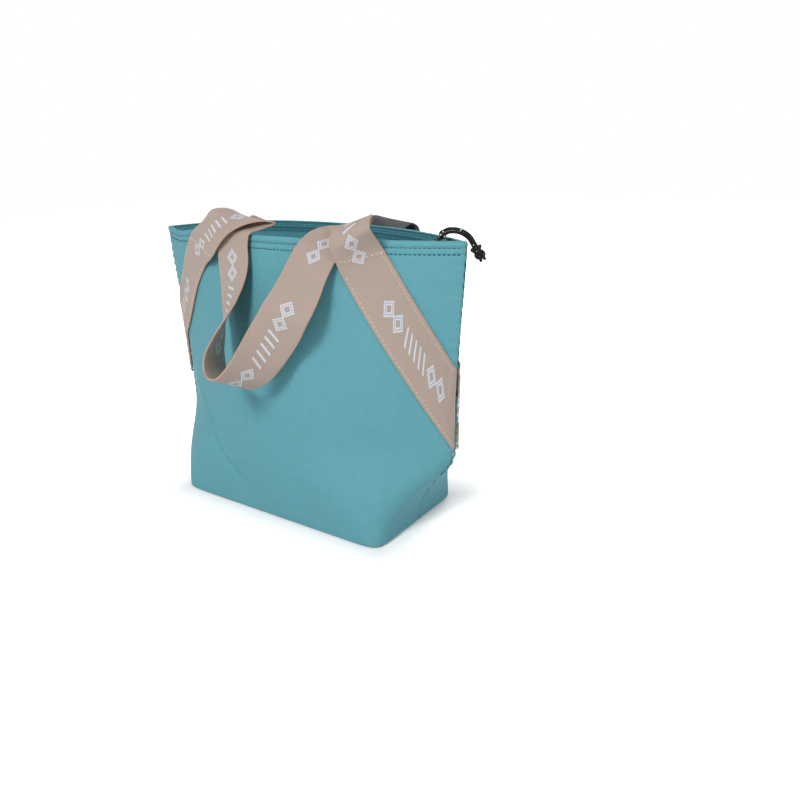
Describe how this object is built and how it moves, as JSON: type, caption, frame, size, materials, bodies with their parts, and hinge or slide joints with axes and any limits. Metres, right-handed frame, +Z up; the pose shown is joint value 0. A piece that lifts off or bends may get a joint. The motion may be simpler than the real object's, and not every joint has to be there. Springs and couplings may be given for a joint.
{
  "type": "insulated food carrier bag",
  "caption": "Soft insulated tote that carries food, with a boxed base, an open zipped mouth and webbing handles hanging over the rim.",
  "frame": {"origin": "centre of the base, on the surface the bag stands on", "axes": "+X to the right along the bag's width, -Y out of the front panel, +Z up through the mouth"},
  "size_m": [0.3644, 0.2465, 0.2793],
  "materials": {
    "shell": "teal coated polyester with a fine plain weave and a soft sheen",
    "foam": "closed-cell white foam",
    "lining": "smooth pale grey film, slightly crinkled",
    "board": "plain stiffener",
    "webbing": "beige twill webbing with stitched edges and a light woven pattern",
    "zip_tape": "woven zip tape",
    "zip_chain": "moulded coil",
    "metal": "dark coated zip metal",
    "cord": "black braided cord with light flecks"
  },
  "bodies": {
    "bag": {"outer_front_panel": "shell", "outer_back_panel": "shell", "outer_base_panel": "shell", "foam_front": "foam", "foam_back": "foam", "foam_base": "foam", "lining_front": "lining", "lining_back": "lining", "lining_base": "lining", "base_board": "board", "rim_facing_front": "shell", "rim_facing_back": "shell", "zip_tape_front": "zip_tape", "zip_tape_back": "zip_tape", "zip_chain_front": "zip_chain", "zip_chain_back": "zip_chain", "zip_stop_left": "metal", "zip_stop_right": "metal", "handle_front_sewn_left": "webbing", "handle_front_sewn_right": "webbing", "handle_back_sewn_left": "webbing", "handle_back_sewn_right": "webbing", "handle_front_arc_left": "webbing", "handle_front_arc_right": "webbing", "handle_back_arc_left": "webbing", "handle_back_arc_right": "webbing"},
    "front_handle": {"handle_front_grip": "webbing"},
    "back_handle": {"handle_back_grip": "webbing"},
    "slider": {"zip_slider": "metal"},
    "puller": {"zip_puller": "metal", "pull_cord": "cord", "pull_knot": "cord"}
  },
  "joints": [
    {"name": "front_handle_swing", "type": "hinge", "parent": "bag", "child": "front_handle", "pos_m": [0, -0.041, 0.272], "axis": [-1, 0, 0], "range_deg": [0, 155], "deforming": ["handle_front_arc_left", "handle_front_arc_right"]},
    {"name": "back_handle_swing", "type": "hinge", "parent": "bag", "child": "back_handle", "pos_m": [0, 0.045, 0.262], "axis": [1, 0, 0], "range_deg": [0, 155], "deforming": ["handle_back_arc_left", "handle_back_arc_right"]},
    {"name": "zip_travel", "type": "slide", "parent": "bag", "child": "slider", "axis": [-1, 0, 0], "range_m": [0, 0.27], "deforming": ["zip_tape_front", "zip_tape_back", "zip_chain_front", "zip_chain_back", "pull_cord", "pull_knot"]},
    {"name": "puller_swing", "type": "hinge", "parent": "slider", "child": "puller", "pos_m": [0.1399, 0, 0.248], "axis": [0, -1, 0], "range_deg": [0, 110]}
  ]
}
